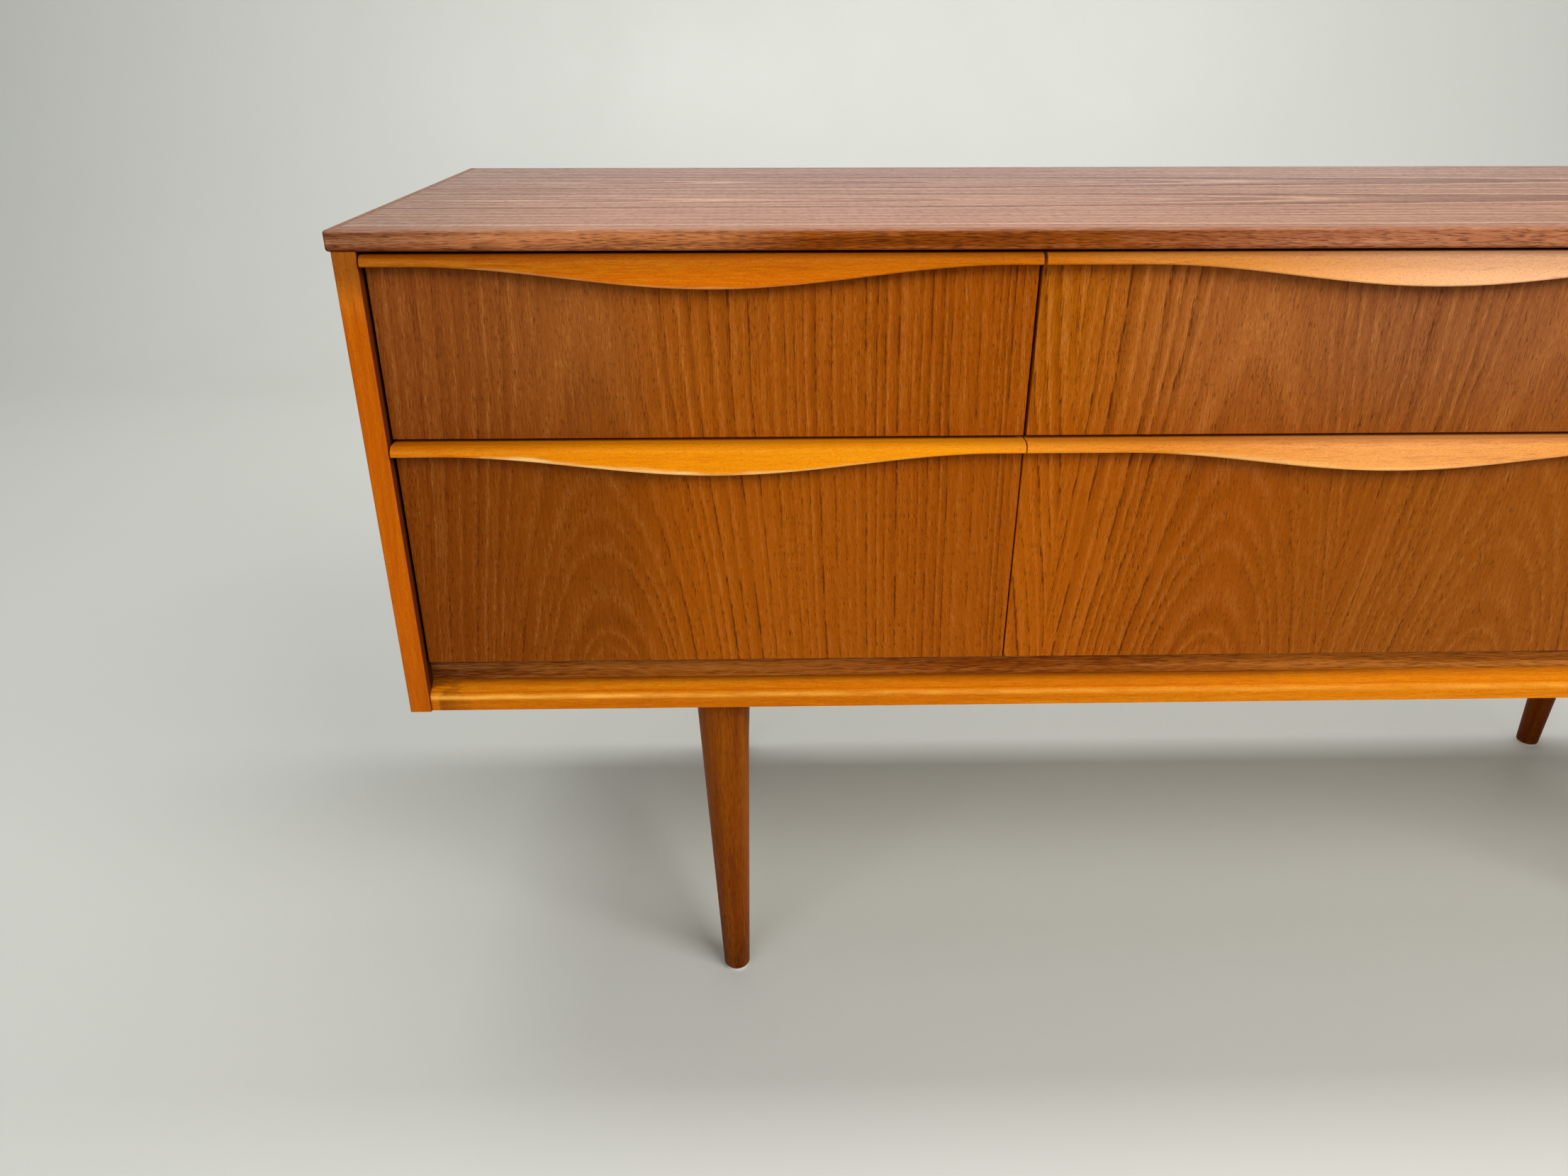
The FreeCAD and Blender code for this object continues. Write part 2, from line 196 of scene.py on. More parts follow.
# Pores: how many across and along a metre, the same for the crowds they stand in, how much
# they crowd, and how softly a pore begins
PORES_ACROSS = 1700.0
PORES_ALONG = 150.0
CROWDS_ACROSS = 110.0
CROWDS_ALONG = 5.0
PORE_CROWDING = 0.2
PORE_SOFTNESS = 0.06
ROW_PULL = 0.32  # how much more likely a pore is in a pore row
PALE_PULL = 0.2  # and a pale fleck in the first growth


def hump(field, stretch):
    """1 inside a stretch, with a smooth rise before it and a smooth fall after it."""
    (rise, top), (fall, end) = stretch
    return field.rise(rise, top) * field.rise(fall, end, 1.0, 0.0)


def growth_rings(shader, radius, along, spacing):
    """The rings over a ring radius: their late wood, dark pore rows and pale first growth."""
    phase = radius / spacing + shader.noise_along(radius * 40.0) * 1.8
    part = phase.fraction()
    number = phase.floor()
    strength = shader.chance(number) * 0.8 + 0.2
    broken = shader.noise(number * 7.3, along * 45.0, 0.5, 2.0).rise(0.36, 0.6)
    late = hump(part, LATE_WOOD) * strength
    row = hump(part, PORE_ROW) * strength * broken
    return late, row, hump(part, FIRST_GROWTH) * strength


def fibres(shader, across, along, seed, inward=None):
    """Fine streaks along the grain, about -1 to 1, from broad to hair thin."""
    total = None
    for width, length, octaves, weight in FIBRE_SIZES:
        third = seed + width if inward is None else inward * width + seed
        streak = (shader.noise(across * width, along * length, third, octaves, 0.6) - 0.5) * weight
        total = streak if total is None else total + streak
    return total


def vessels(shader, across, along, seed, bias, threshold):
    """Short open pores along the grain: 1 in a pore and 0 beside it."""
    grain = shader.noise(across * PORES_ACROSS, along * PORES_ALONG, seed, 1.0)
    crowd = shader.noise(across * CROWDS_ACROSS, along * CROWDS_ALONG, seed + 11.0, 1.0) - 0.5
    return (grain + crowd * PORE_CROWDING + bias).rise(threshold, threshold + PORE_SOFTNESS)


def leaf_layout(across, leaves):
    """Heart position and running number of each veneer leaf, from (left edge, heart) pairs."""
    heart = across * 0.0 + leaves[0][1]
    number = across * 0.0
    for (_, previous), (edge, centre) in zip(leaves, leaves[1:]):
        inside = across.beyond(edge)
        heart = heart + inside * (centre - previous)
        number = number + inside
    return heart, number


def tone_strength(across, ring):
    """How strongly the rings are marked, from (position, strength) stops across the grain."""
    stops = ring["marked"]
    total = across * 0.0 + stops[0][1]
    for (start, low), (end, high) in zip(stops, stops[1:]):
        total = total + across.rise(start, end, 0.0, high - low)
    return total


def tone_along(shader, place, stops):
    """Mean colour of the wood along one direction, from (position, display colour) stops."""
    position, tone = stops[0][0], colour(*stops[0][1])
    for following, shown in stops[1:]:
        tone = shader.blend(tone, colour(*shown), place.rise(position, following))
        position = following
    return tone


def grained(shader, tone, kind, shade):
    """The mean colour made paler or darker, as shade falls below or climbs above a half."""
    paler = shader.blend(tone, kind["straw"], (0.5 - shade) * kind["paler"])
    return shader.blend(paler, kind["umber"], (shade - 0.5) * kind["darker"])


def veneer(name, axes, face, leaves, ring, rows, split, kind, gloss, seed, marks_and_light=None):
    """Flat-sawn teak leaves: arches over each heart and straight lines beside it.

    The grain wraps round the edges of the face that lies at the given distance along the
    last axis. The mean tone goes from the first to the second of rows along the axis in split.
    """
    shader = Shader(name)
    across, along, through = (getattr(shader, axis) for axis in axes)
    across = across + (through.size() - face)
    heart, number = leaf_layout(across, leaves)
    local = across - heart
    lot = number * 0.12 + seed
    drift = shader.noise(local * 4.0, along * 2.0, lot, 2.0) - 0.5
    ripple = shader.noise(local * 40.0, along * 30.0, lot + 20.0, 2.0) - 0.5
    offset = local + drift * ring["drift"]
    swell = shader.noise(local * 3.0, along * ring["swell_rate"], lot + 30.0, 1.0) - 0.5
    climb = (along - ring["start"]) * (ring["climb"] / ring["limit"])
    ragged = shader.noise(local * 700.0, along * 12.0, lot + 50.0, 2.0) - 0.5
    depth = shader.math("TANH", climb) * ring["limit"] + swell * ring["swell"]
    flow = offset * (1.0 + depth * ring["fan"])
    depth = depth + ragged * ring["ragged"]
    radius = (offset * offset + depth * depth) ** 0.5 + ripple * ring["ripple"]
    late, row, pale = growth_rings(shader, radius, along, ring["spacing"])
    flank = offset.size() / radius
    strength = tone_strength(across, ring)
    marked = strength * (flank + ring["crest"]).least(1.0)
    row = row * strength * (flank ** 2.0 + ring["row_crest"]).least(1.0)
    bands = shader.noise_along(radius * 38.0 + seed, 2.0) - 0.5
    streaks = fibres(shader, flow, along, lot)
    holes = vessels(shader, flow, along, lot, row * ROW_PULL, ring["pore_threshold"])
    flecks = vessels(shader, flow, along, lot + 60.0, pale * PALE_PULL, ring["pore_threshold"])
    cloud = shader.noise(across * 5.0, along * 2.5, seed + 40.0, 2.0) - 0.5
    # On the drawer fronts the grain's contrast is stronger on the upper drawers, as painted light
    lively = along.rise(*ring["lively"])
    shade = (late * ring["late"] - pale * ring["pale"]) * marked + row * ring["rows"]
    shade = shade + bands * ring["bands"] + cloud * 0.2 - flecks * 0.2
    shade = (shade + streaks * ring["fibres"]) * lively + ring["shade"]
    first, second = (tone_along(shader, shader.x, row_tones) for row_tones in rows)
    split_axis, split_start, split_end = split
    tone = shader.blend(first, second, getattr(shader, split_axis).rise(split_start, split_end))
    base = grained(shader, tone, kind, shade)
    base = shader.blend(base, kind["pore"], holes * ring["pore_depth"])
    if marks_and_light is not None:
        base = marks_and_light(shader, base)
    height = streaks * 0.15 - holes - late * 0.15
    rough = gloss["rough"] + holes * 0.2 - late * 0.04 + cloud * 0.08
    return shader.finish(base, rough, height, VENEER_RELIEF, Specular_IOR_Level=gloss["specular"],
                         Coat_Weight=gloss["coat"], Coat_Roughness=gloss["coat_rough"])


def timber(name, axes, stops, kind, gloss, seed, figure, marks_and_light=None, tone_axis="x"):
    """Solid wood cut along the grain: streaks, flecks and pores, with no strong figure."""
    shader = Shader(name)
    across, along, third = (getattr(shader, axis) for axis in axes)
    bend = shader.noise(across * 10.0, along * 3.0, third * 10.0 + seed) - 0.5
    side = across + bend * figure["bend"]
    streaks = fibres(shader, side, along, seed, third)
    growth = shader.noise(side * figure["growth"], along * 1.5, third * figure["growth"] + seed, 2.0) - 0.5
    width = figure["fleck_width"]
    flecks = shader.noise(side * width, along * figure["fleck_rate"], third * width + seed, 1.0)
    crowd = shader.noise(side * 40.0, along * 5.0, third * 40.0 + seed, 1.0) - 0.5
    flecks = (flecks + crowd * figure["crowding"]).rise(figure["threshold"], figure["threshold"] + 0.08)
    shade = streaks * figure["fibres"] + growth * figure["contrast"] + 0.5
    tone = tone_along(shader, getattr(shader, tone_axis), stops)
    base = grained(shader, tone, kind, shade)
    base = shader.blend(base, kind["pore"], flecks * figure["depth"])
    rough = gloss["rough"] + streaks * 0.03 + flecks * 0.1
    height = streaks * 0.2 - flecks
    if marks_and_light is not None:
        base, rough = marks_and_light(shader, base, rough)
    return shader.finish(base, rough, height, SOLID_RELIEF, Specular_IOR_Level=gloss["specular"],
                         Coat_Weight=gloss["coat"], Coat_Roughness=gloss["coat_rough"])


SATIN = {"rough": 0.42, "specular": 0.05, "coat": 0.0, "coat_rough": 0.3}
TOP_SATIN = {"rough": 0.45, "specular": 0.3, "coat": 0.06, "coat_rough": 0.35}
RAW = {"rough": 0.72, "specular": 0.2, "coat": 0.0, "coat_rough": 0.5}

TEAK = {
    "straw": colour(255, 184, 100),
    "umber": colour(58, 14, 0),
    "pore": colour(54, 16, 0),
    "paler": 0.42,
    "darker": 1.3,
}
LEG_TEAK = dict(TEAK, straw=colour(226, 140, 30))
EDGE_TEAK = dict(TEAK, straw=colour(250, 190, 140), umber=colour(62, 22, 8))
TOP_TEAK = dict(TEAK, straw=colour(255, 214, 184), umber=colour(84, 38, 18), pore=colour(84, 46, 32))
BEECH = {
    "straw": colour(255, 186, 44),
    "umber": colour(116, 42, 0),
    "pore": colour(120, 52, 0),
    "paler": 0.5,
    "darker": 0.8,
}
LIPPING_BEECH = dict(BEECH, straw=colour(250, 160, 20))
PALE_WOOD = {
    "straw": colour(255, 234, 200),
    "umber": colour(120, 80, 44),
    "pore": colour(104, 72, 44),
    "paler": 0.5,
    "darker": 0.8,
}
# Pale lower edge of the handles: a painted highlight on wood worn bare
BARE_AND_HIGHLIT_BEECH = colour(252, 208, 132)
# Painted highlight along the rail's nose
NOSE_HIGHLIGHT = colour(252, 178, 70)
# Grime, also used as painted shade on the handles and, partly, along the rail's back
GRIME_AND_SHADE = colour(70, 28, 0)
# Painted shade on the side panels' inner faces
INSIDE_SHADE = colour(58, 30, 16)
# Painted shade on the lippings' inner faces
LIPPING_INSIDE_SHADE = colour(104, 50, 22)

# Mean colours along x, as (position, display colour); the splits say where the first of a
# pair of tones gives way to the second. The drawer fronts' tones also hold painted light: darker
# towards the left end, partly as painted shade of the light's fall-off, and bluer in places on
# the upper rows as painted sheen
FRONT_SPLIT = ("z", 0.52, 0.68)
TOP_SPLIT = ("y", -0.16, 0.2)
LEFT_LOWER = [(-0.78, (119, 58, 1)), (-0.64, (128, 64, 1)), (-0.54, (158, 80, 0)), (-0.34, (155, 77, 0))]
LEFT_UPPER = [(-0.78, (130, 68, 26)), (-0.64, (144, 80, 32)), (-0.54, (156, 81, 16)), (-0.34, (155, 77, 0))]
MIDDLE_LOWER = [(-0.28, (167, 84, 0)), (-0.14, (148, 74, 4)), (0.06, (142, 75, 16)), (0.28, (143, 76, 18))]
MIDDLE_UPPER = [(-0.28, (163, 86, 4)), (-0.14, (156, 88, 40)), (0.0, (142, 83, 46)), (0.20, (147, 85, 46))]
RIGHT_LOWER = [(0.34, (158, 83, 16)), (0.54, (162, 83, 6)), (0.78, (142, 73, 6))]
RIGHT_UPPER = [(0.34, (160, 89, 40)), (0.54, (164, 87, 18)), (0.78, (150, 79, 20))]
# The top's tones are paler and pinker than the fronts', partly as painted sheen, and the back row is greyer
# as painted reflection
TOP_TONE = [(-0.80, (130, 92, 72)), (-0.60, (156, 108, 84)), (0.0, (150, 102, 76)), (0.80, (150, 102, 78))]
TOP_BACK_TONE = [
    (-0.80, (126, 96, 82)), (-0.60, (134, 98, 86)), (0.0, (138, 104, 92)), (0.80, (140, 102, 88)),
]
SIDE_TONE = [(-0.80, (140, 72, 8)), (0.80, (146, 76, 12))]
SIDE_UPPER_TONE = [(-0.80, (146, 78, 14)), (0.80, (150, 80, 18))]
EDGE_TONE = [
    (-0.81, (116, 64, 36)), (-0.66, (176, 108, 66)), (-0.56, (180, 110, 64)), (-0.46, (148, 74, 16)),
    (-0.28, (138, 70, 20)), (-0.02, (168, 104, 72)), (0.30, (150, 86, 40)), (0.80, (138, 74, 26)),
]
FASCIA_TONE = [(-0.78, (92, 40, 1)), (-0.66, (132, 68, 4)), (-0.28, (132, 64, 1)), (0.0, (160, 90, 26))]
RAIL_TONE = [(-0.78, (196, 104, 1)), (-0.28, (206, 110, 1)), (0.05, (218, 122, 10))]
LIPPING_TONE = [(0.34, (180, 86, 0)), (0.42, (190, 90, 0)), (0.66, (186, 89, 0)), (0.71, (198, 110, 30))]
LEG_TONE = [(0.0, (94, 43, 1)), (0.10, (118, 56, 2)), (0.20, (126, 62, 1)), (0.33, (126, 62, 1))]
# The handle tones hold painted light: darker on the upper handles under the slab and towards the left end
# as painted shade, and pale and pink round the middle as painted sheen
HANDLE_TONES = {
    "upper": [
        (-0.78, (182, 90, 0)), (-0.50, (214, 109, 0)), (-0.30, (226, 122, 4)),
        (-0.20, (243, 150, 60)), (0.06, (255, 188, 140)), (0.50, (232, 132, 26)),
    ],
    "lower": [
        (-0.78, (210, 112, 0)), (-0.60, (238, 137, 0)), (-0.36, (246, 148, 16)),
        (-0.24, (232, 136, 38)), (0.0, (246, 162, 88)), (0.50, (236, 142, 30)),
    ],
}
DRAWER_TONE = [(-0.80, (204, 166, 118)), (0.80, (208, 172, 124))]
BOARD_TONE = [(-0.80, (186, 146, 98)), (0.80, (190, 150, 102))]

FRONT_RING = {
    "start": 0.3, "climb": 0.38, "limit": 0.09, "spacing": 0.0078, "drift": 0.018,
    "ripple": 0.0014, "ragged": 0.006, "swell": 0.01, "swell_rate": 3.0, "fan": 3.0,
    "shade": 0.5, "crest": 0.55, "row_crest": 0.2, "late": 0.18, "rows": 0.16, "pale": 0.05, "bands": 0.14,
    "fibres": 0.21,
    "pore_threshold": 0.65, "pore_depth": 0.55, "lively": (0.5, 0.62, 0.75, 1.1),
    "marked": [(-0.70, 0.6), (-0.52, 1.2)],
}
MIDDLE_RING = dict(FRONT_RING, marked=[(-0.16, 1.4), (-0.06, 0.7)])
RIGHT_RING = dict(FRONT_RING, marked=[(0.40, 0.8), (0.60, 1.1)])
TOP_RING = {
    "start": -0.9, "climb": 0.045, "limit": 0.2, "spacing": 0.0085, "drift": 0.012,
    "ripple": 0.001, "ragged": 0.002, "swell": 0.022, "swell_rate": 2.5, "fan": 0.0,
    "shade": 0.4, "crest": 1.0, "row_crest": 0.25, "late": 0.6, "rows": 0.45, "pale": 0.2,
    "bands": 0.4, "fibres": 0.42,
    "pore_threshold": 0.6, "pore_depth": 0.5, "lively": (-0.8, 0.0, 1.0, 1.0),
    "marked": [(0.0, 1.0)],
}
SIDE_RING = dict(FRONT_RING, start=0.25, climb=0.25, marked=[(0.0, 1.0)])

EDGE_FIGURE = {
    "bend": 0.012, "growth": 110.0, "contrast": 1.7, "fibres": 0.38, "fleck_width": 1900.0,
    "fleck_rate": 90.0, "crowding": 0.35, "threshold": 0.565, "depth": 0.62,
}
FASCIA_FIGURE = dict(
    EDGE_FIGURE, fleck_width=1500.0, fleck_rate=60.0, fibres=0.26, contrast=1.3, depth=0.5)
BEECH_FIGURE = {
    "bend": 0.01, "growth": 60.0, "contrast": 1.1, "fibres": 0.34, "fleck_width": 2200.0,
    "fleck_rate": 450.0, "crowding": 0.1, "threshold": 0.58, "depth": 0.16,
}
LIPPING_FIGURE = dict(BEECH_FIGURE, bend=0.05, growth=130.0, contrast=0.9, fibres=0.26)
LEG_FIGURE = {
    "bend": 0.02, "growth": 55.0, "contrast": 1.0, "fibres": 0.25, "fleck_width": 1500.0,
    "fleck_rate": 90.0, "crowding": 0.2, "threshold": 0.6, "depth": 0.4,
}
PLAIN_FIGURE = dict(BEECH_FIGURE, bend=0.02, contrast=0.9, depth=0.4, fleck_rate=120.0)

# Veneer leaves: where each starts and where its heart lies, in metres across the grain
LEFT_LEAVES = [(-1.0, -0.636)]
MIDDLE_LEAVES = [(-1.0, -0.356), (-0.262, -0.120), (-0.025, 0.115), (0.212, 0.352)]
RIGHT_LEAVES = [(0.0, 0.40), (0.52, 0.655)]
TOP_LEAVES = [(-1.0, -0.55), (-0.1065, -0.0565), (0.0235, 0.0785), (0.1535, 0.3)]
SIDE_LEAVES = [(-1.0, -0.09), (0.03, 0.14)]

# Handle profile, as the CAD makes it
LIP_END = 0.0082
SWELL_DEPTH = 0.0166
SWELL_HALF = 0.220
SWELL_SHIFT = {"left": 0.006, "middle": 0.0, "right": -0.006}

# From the handle's top: where its painted shade fades out below, and where its rounded crown begins
SHADE_FADE = (-0.022, -0.002)
CROWN = (-0.006, -0.0005)

# The pale lower edge of each handle, a painted highlight on wood worn bare, as (size, strength); the
# painted shade down from its top and on its rounded crown, as two strengths
EDGE_HIGHLIGHT_AND_WEAR = {"upper": (0.0026, 0.24), "lower": (0.0048, 0.36), "lower_left": (0.0052, 0.85)}
CROWN_SHADE = {"upper": (0.36, 0.4), "lower": (0.05, 0.3)}


def handle_wood(node, seed):
    """Beech with a painted highlight along its lip's lower edge, worn bare, and painted shade down from its
    top and on its rounded crown.
    """
    low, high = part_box(node)
    middle = (low.x + high.x) / 2 + SWELL_SHIFT[node.split("_")[1]]
    row = node.split("_")[0]
    band, strength = EDGE_HIGHLIGHT_AND_WEAR.get(node.removesuffix("_handle"), EDGE_HIGHLIGHT_AND_WEAR[row])
    slope, crown_shading = CROWN_SHADE[row]

    def marks_and_light(shader, base, rough):
        reach = ((shader.x - middle).size() / SWELL_HALF).least(1.0) * math.pi
        edge = shader.math("COSINE", reach) * (-SWELL_DEPTH / 2) + (high.z - LIP_END - SWELL_DEPTH / 2)
        above = shader.z - edge
        patchy = shader.noise(shader.x * 14.0, shader.z * 90.0, seed + 30.0, 3.0, 0.6) - 0.5
        fading = (shader.x - middle).rise(-0.05, 0.16, 0.0, 0.6)
        thin = reach.rise(2.0, 3.0, 0.0, 0.7)
        worn = above + patchy * band * 2.0 + (fading + thin) * band
        highlit = worn.rise(band * 0.2, band, 1.0, 0.0)
        # Painted highlight along the lip's lower edge, on wood worn bare
        base = shader.blend(base, BARE_AND_HIGHLIT_BEECH, highlit * strength)
        # Painted shade down from the handle's top and on its rounded crown
        base = shader.blend(base, GRIME_AND_SHADE, (shader.z - high.z).rise(*SHADE_FADE) * slope)
        crown = (shader.z - high.z).rise(*CROWN)
        return shader.blend(base, GRIME_AND_SHADE, crown * crown_shading), rough + highlit * 0.12

    tones = HANDLE_TONES[row]
    return timber(f"beech_{node}", "zxy", tones, BEECH, SATIN, seed, BEECH_FIGURE, marks_and_light)


# Heights below the case top between which the lippings' dirt sets in
LIPPING_DIRT = (0.04, 0.014)
ARRIS = (0.0026, 0.0008)  # heights below the slab's top between which its arris turns pale

# Along the rail: its stained end, where the painted highlight on its nose is weaker, and where
# its back is darker, partly dirt and partly painted shade where it meets the fascia
RAIL_STAIN = (-0.70, -0.775)
RAIL_HIGHLIGHT_FADE = (-0.6, -0.3, 1.0, 0.6)
RAIL_DIRT_AND_SHADE_FADE = (-0.1, 0.15, 1.1, 0.55)
RAIL_HIGHLIGHT_HALF = 0.0036
RAIL_BACK = (RAIL_FRONT + 0.006, RAIL_FRONT + 0.019)


def lipping_dirt_and_shade(shader, base, rough):
    """Dirt at the top end of the side lippings, and painted shade on their inner faces."""
    grime = shader.noise(shader.x * 90.0, shader.z * 30.0, 3.0, 3.0) - 0.5
    dirty = (shader.z + grime * 0.02).rise(*(CASE_TOP - drop for drop in LIPPING_DIRT))
    base = shader.blend(base, GRIME_AND_SHADE, dirty * 0.5)
    # Painted shade on the inner faces
    return shader.blend(base, LIPPING_INSIDE_SHADE, inner_face(shader)), rough + dirty * 0.1


def inner_face(shader):
    """1 on the faces of the side panels and lippings that look into the case."""
    return shader.x.size().rise(SIDE_INNER + 0.0001, SIDE_INNER + 0.0006, 1.0, 0.0)


def shade_inside(shader, base):
    """Painted shade on the sides' faces inside the case."""
    return shader.blend(base, INSIDE_SHADE, inner_face(shader))


def slab_edge(shader, base, rough):
    """The slab's upper arris is painted as pale as its top: a painted highlight."""
    # Painted highlight on the arris
    arris = shader.z.rise(*(SLAB_TOP - drop for drop in ARRIS))
    streaks = fibres(shader, shader.y, shader.x, 44.0) * 0.4 + 0.55
    front, back = (tone_along(shader, shader.x, stops) for stops in (TOP_TONE, TOP_BACK_TONE))
    pale = grained(shader, shader.blend(front, back, shader.y.rise(*TOP_SPLIT[1:])), TOP_TEAK, streaks)
    return shader.blend(base, pale, arris * 0.85), rough


def rail_marks_and_light(shader, base, rough):
    """Stains on the rail's left end, darkening along its back that is partly dirt and partly painted shade,
    and a painted highlight along its nose.
    """
    spots = shader.noise(shader.x * 60.0, shader.y * 200.0, 8.0, 3.0)
    stained = (shader.x + spots * 0.06).rise(*RAIL_STAIN) * spots.rise(0.45, 0.6)
    base = shader.blend(base, GRIME_AND_SHADE, stained * 0.8)
    nose = shader.noise(shader.x * 22.0, shader.z * 120.0, 5.0, 3.0, 0.6)
    # Painted highlight along the nose
    highlit = (shader.z - RAIL_NOSE).size().rise(0.0, RAIL_HIGHLIGHT_HALF, 1.0, 0.0) * nose.rise(0.1, 0.8)
    highlit = highlit * shader.x.rise(*RAIL_HIGHLIGHT_FADE)
    # Darker along the back: partly dirt, partly painted shade
    back = shader.y.rise(*RAIL_BACK) * shader.x.rise(*RAIL_DIRT_AND_SHADE_FADE)
    base = shader.blend(base, GRIME_AND_SHADE, back)
    return shader.blend(base, NOSE_HIGHLIGHT, highlit), rough + stained * 0.1


FINISHES = {
    "teak_front_left": veneer(
        "teak_front_left", "xzy", FRONT_FACE, LEFT_LEAVES, FRONT_RING, (LEFT_LOWER, LEFT_UPPER),
        FRONT_SPLIT, TEAK, SATIN, 3.0),
    "teak_front_middle": veneer(
        "teak_front_middle", "xzy", FRONT_FACE, MIDDLE_LEAVES, MIDDLE_RING, (MIDDLE_LOWER, MIDDLE_UPPER),
        FRONT_SPLIT, TEAK, SATIN, 8.0),
    "teak_front_right": veneer(
        "teak_front_right", "xzy", FRONT_FACE, RIGHT_LEAVES, RIGHT_RING, (RIGHT_LOWER, RIGHT_UPPER),
        FRONT_SPLIT, TEAK, SATIN, 15.0),
    "teak_top": veneer(
        "teak_top", "yxz", SLAB_TOP, TOP_LEAVES, TOP_RING, (TOP_TONE, TOP_BACK_TONE), TOP_SPLIT, TOP_TEAK,
        TOP_SATIN, 5.0),
    "teak_side": veneer(
        "teak_side", "yzx", SIDE_OUTER, SIDE_LEAVES, SIDE_RING, (SIDE_TONE, SIDE_UPPER_TONE), FRONT_SPLIT,
        TEAK, SATIN, 21.0, shade_inside),
    "teak_edge": timber("teak_edge", "zxy", EDGE_TONE, EDGE_TEAK, SATIN, 4.0, EDGE_FIGURE, slab_edge),
    "teak_edge_end": timber(
        "teak_edge_end", "zyx", EDGE_TONE, EDGE_TEAK, SATIN, 6.0, EDGE_FIGURE, slab_edge),
    "teak_fascia": timber("teak_fascia", "zxy", FASCIA_TONE, TEAK, SATIN, 7.0, FASCIA_FIGURE),
    "beech_rail": timber("beech_rail", "zxy", RAIL_TONE, BEECH, SATIN, 9.0, BEECH_FIGURE, rail_marks_and_light),
    "beech_upright": timber(
        "beech_upright", "xzy", LIPPING_TONE, LIPPING_BEECH, SATIN, 12.0, LIPPING_FIGURE,
        lipping_dirt_and_shade, "z"),
    "leg_wood": timber("leg_wood", "xzy", LEG_TONE, LEG_TEAK, SATIN, 14.0, LEG_FIGURE, None, "z"),
    "drawer_wood": timber("drawer_wood", "zyx", DRAWER_TONE, PALE_WOOD, RAW, 16.0, PLAIN_FIGURE),
    "drawer_wood_back": timber(
        "drawer_wood_back", "zxy", DRAWER_TONE, PALE_WOOD, RAW, 18.0, PLAIN_FIGURE),
    "drawer_bottom": timber("drawer_bottom", "yxz", BOARD_TONE, PALE_WOOD, RAW, 20.0, PLAIN_FIGURE),
    "case_board": timber("case_board", "yxz", BOARD_TONE, PALE_WOOD, RAW, 22.0, PLAIN_FIGURE),
    "inner_hardwood": timber(
        "inner_hardwood", "zyx", DRAWER_TONE, PALE_WOOD, RAW, 24.0, PLAIN_FIGURE),
    "back_board": timber("back_board", "zxy", BOARD_TONE, PALE_WOOD, RAW, 26.0, PLAIN_FIGURE),
}
for seed, name in enumerate(sorted(nodes)):
    if name.endswith("_handle"):
        FINISHES[f"beech_{name}"] = handle_wood(name, 30.0 + seed)


def felt():
    shader = Shader("felt")
    tuft = shader.noise(shader.x * 900.0, shader.y * 900.0, shader.z * 900.0, 4.0, 0.7)
    worn = shader.noise(shader.x * 120.0, shader.y * 120.0, shader.z * 120.0, 2.0)
    base = shader.blend(colour(232, 230, 222), colour(176, 172, 160), tuft * 0.6 + worn * 0.2)
    return shader.finish(base, 0.9 + worn * 0.08, tuft, 0.0006, Sheen_Weight=0.4, Specular_IOR_Level=0.1)


def steel():
    shader = Shader("steel")
    brushed = shader.noise(shader.x * 3000.0, shader.y * 3000.0, shader.z * 400.0, 2.0)
    tarnish = shader.noise(shader.x * 300.0, shader.y * 300.0, shader.z * 300.0, 3.0)
    base = shader.blend(colour(200, 196, 184), colour(150, 140, 118), tarnish.rise(0.4, 0.7))
    return shader.finish(base, 0.3 + tarnish * 0.2, brushed, 0.00005, Metallic=1.0)


FINISHES["felt"] = felt()
FINISHES["steel"] = steel()


def finish_of(name):
    """The finish of a CAD node, from its name."""
    column = name.split("_")[1] if name.startswith(("upper", "lower")) else ""
    if name.endswith("_front") and column in ("left", "middle", "right"):
        return f"teak_front_{column}"
    if name.endswith("_handle"):
        return f"beech_{name}"
    if name.endswith("_bottom"):
        return "drawer_bottom"
    if column and name.endswith("_back"):
        return "drawer_wood_back"
    if column and name.endswith("_sides"):
        return "drawer_wood"
    for start, finish in (
        ("top_panel", "teak_top"), ("top_lipping_front", "teak_edge"),
        ("top_lipping", "teak_edge_end"), ("side_panel", "teak_side"),
        ("side_lipping", "beech_upright"), ("front_rail", "beech_rail"),
        ("lower_fascia", "teak_fascia"),
        ("floor_panel", "case_board"), ("partition", "case_board"),
        ("back_panel", "back_board"), ("leg_blocks", "inner_hardwood"),
        ("leg_bolts", "steel"), ("leg_", "leg_wood"), ("glide", "felt"),
        ("top_cleats", "inner_hardwood"), ("runners", "inner_hardwood"),
        ("block_screws", "steel"), ("back_screws", "steel"),
    ):
        if name.startswith(start):
            return finish
    raise ValueError(name)


for name, node in nodes.items():
    for slot in node.material_slots:
        slot.material = FINISHES[finish_of(name)]

# ---------------------------------------------------------------- floor, lights, camera
SWEEP_FRONT = -7.0
SWEEP_BACK = 3.4
SWEEP_RADIUS = 1.4
SWEEP_HEIGHT = 5.0
SWEEP_HALF_WIDTH = 8.0
SWEEP_STEPS = 24

SENSOR_WIDTH = 36.0
LENS = 25.31
CAMERA_PLACE = (-0.5029, -1.0401, 0.8520)
CAMERA_TILT = 63.86
CAMERA_TURN = -1.20

SKY_TINT = (0.93, 0.96, 1.0, 1.0)
SKY_STRENGTH = 0.17

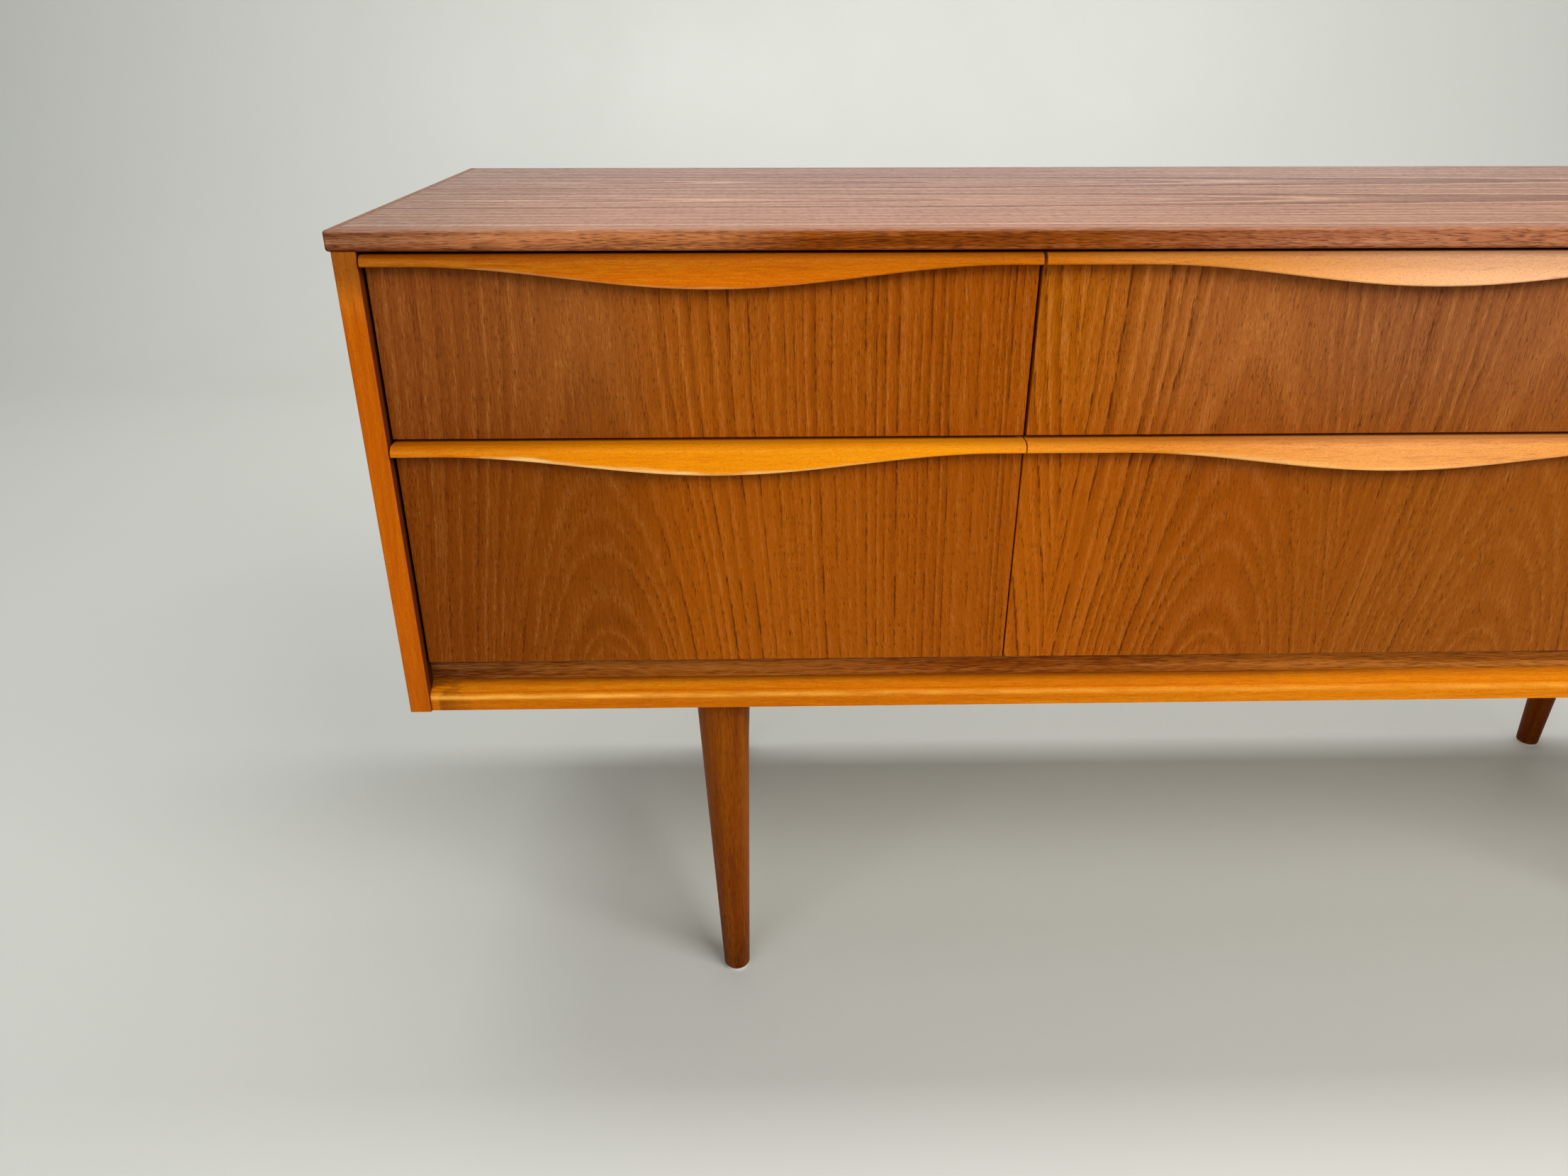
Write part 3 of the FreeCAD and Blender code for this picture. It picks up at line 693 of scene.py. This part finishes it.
# Soft lights: name, place, target, size, power, tint
LIGHTS = (
    ("key", (1.7, -2.4, 2.9), (0.0, 0.0, 0.45), (2.4, 1.8), 130.0, (1.0, 0.985, 0.96)),
    ("fill", (-1.9, -2.9, 2.1), (-0.3, 0.0, 0.45), (2.2, 1.6), 40.0, (0.95, 0.98, 1.0)),
    ("overhead", (0.0, -0.3, 3.0), (0.0, -0.1, 0.0), (3.0, 1.2), 11.0, (1.0, 1.0, 1.0)),
    ("backdrop_glow", (0.0, 0.6, 4.2), (0.0, 3.4, 1.2), (5.0, 1.0), 190.0, (1.0, 1.0, 1.0)),
)


def studio_sweep():
    """Pale floor that curves up into a plain backdrop behind the dresser."""
    profile = [(SWEEP_FRONT, 0.0)]
    for step in range(SWEEP_STEPS + 1):
        turn = math.pi / 2 * step / SWEEP_STEPS
        y = SWEEP_BACK - SWEEP_RADIUS + SWEEP_RADIUS * math.sin(turn)
        profile.append((y, SWEEP_RADIUS - SWEEP_RADIUS * math.cos(turn)))
    profile.append((SWEEP_BACK, SWEEP_HEIGHT))
    points = [(x, y, z) for y, z in profile for x in (-SWEEP_HALF_WIDTH, SWEEP_HALF_WIDTH)]
    faces = [(2 * i, 2 * i + 1, 2 * i + 3, 2 * i + 2) for i in range(len(profile) - 1)]
    mesh = bpy.data.meshes.new("studio_sweep")
    mesh.from_pydata(points, [], faces)
    mesh.polygons.foreach_set("use_smooth", [True] * len(faces))
    sweep = bpy.data.objects.new("studio_sweep", mesh)
    bpy.context.scene.collection.objects.link(sweep)
    shader = Shader("studio_grey")
    patches = shader.noise(shader.x * 1.5, shader.y * 1.5, shader.z, 4.0, 0.6)
    specks = shader.noise(shader.x * 60.0, shader.y * 60.0, shader.z * 60.0, 3.0, 0.7)
    base = shader.blend(colour(190, 191, 185), colour(182, 183, 177), patches * 0.8 + specks * 0.2)
    rough = patches.rise(0.3, 0.7, 0.42, 0.52)
    mesh.materials.append(shader.finish(base, rough, specks, 0.0002, Specular_IOR_Level=0.3))


def soft_light(name, place, target, size, power, tint):
    light = bpy.data.lights.new(name, "AREA")
    light.shape = "RECTANGLE"
    light.size, light.size_y = size
    light.energy = power
    light.color = tint
    lamp = bpy.data.objects.new(name, light)
    lamp.location = place
    aim = Vector(target) - Vector(place)
    lamp.rotation_euler = aim.to_track_quat("-Z", "Y").to_euler()
    lamp.visible_camera = False
    bpy.context.scene.collection.objects.link(lamp)


def camera():
    data = bpy.data.cameras.new("camera")
    data.sensor_width = SENSOR_WIDTH
    data.lens = LENS
    eye = bpy.data.objects.new("camera", data)
    eye.location = CAMERA_PLACE
    eye.rotation_euler = (math.radians(CAMERA_TILT), 0.0, math.radians(CAMERA_TURN))
    bpy.context.scene.collection.objects.link(eye)
    bpy.context.scene.camera = eye


def world():
    sky = bpy.data.worlds.new("studio")
    sky.use_nodes = True
    background = sky.node_tree.nodes["Background"]
    background.inputs["Color"].default_value = SKY_TINT
    background.inputs["Strength"].default_value = SKY_STRENGTH
    bpy.context.scene.world = sky


studio_sweep()
for light in LIGHTS:
    soft_light(*light)
camera()
world()
bpy.context.scene.view_settings.view_transform = "Standard"
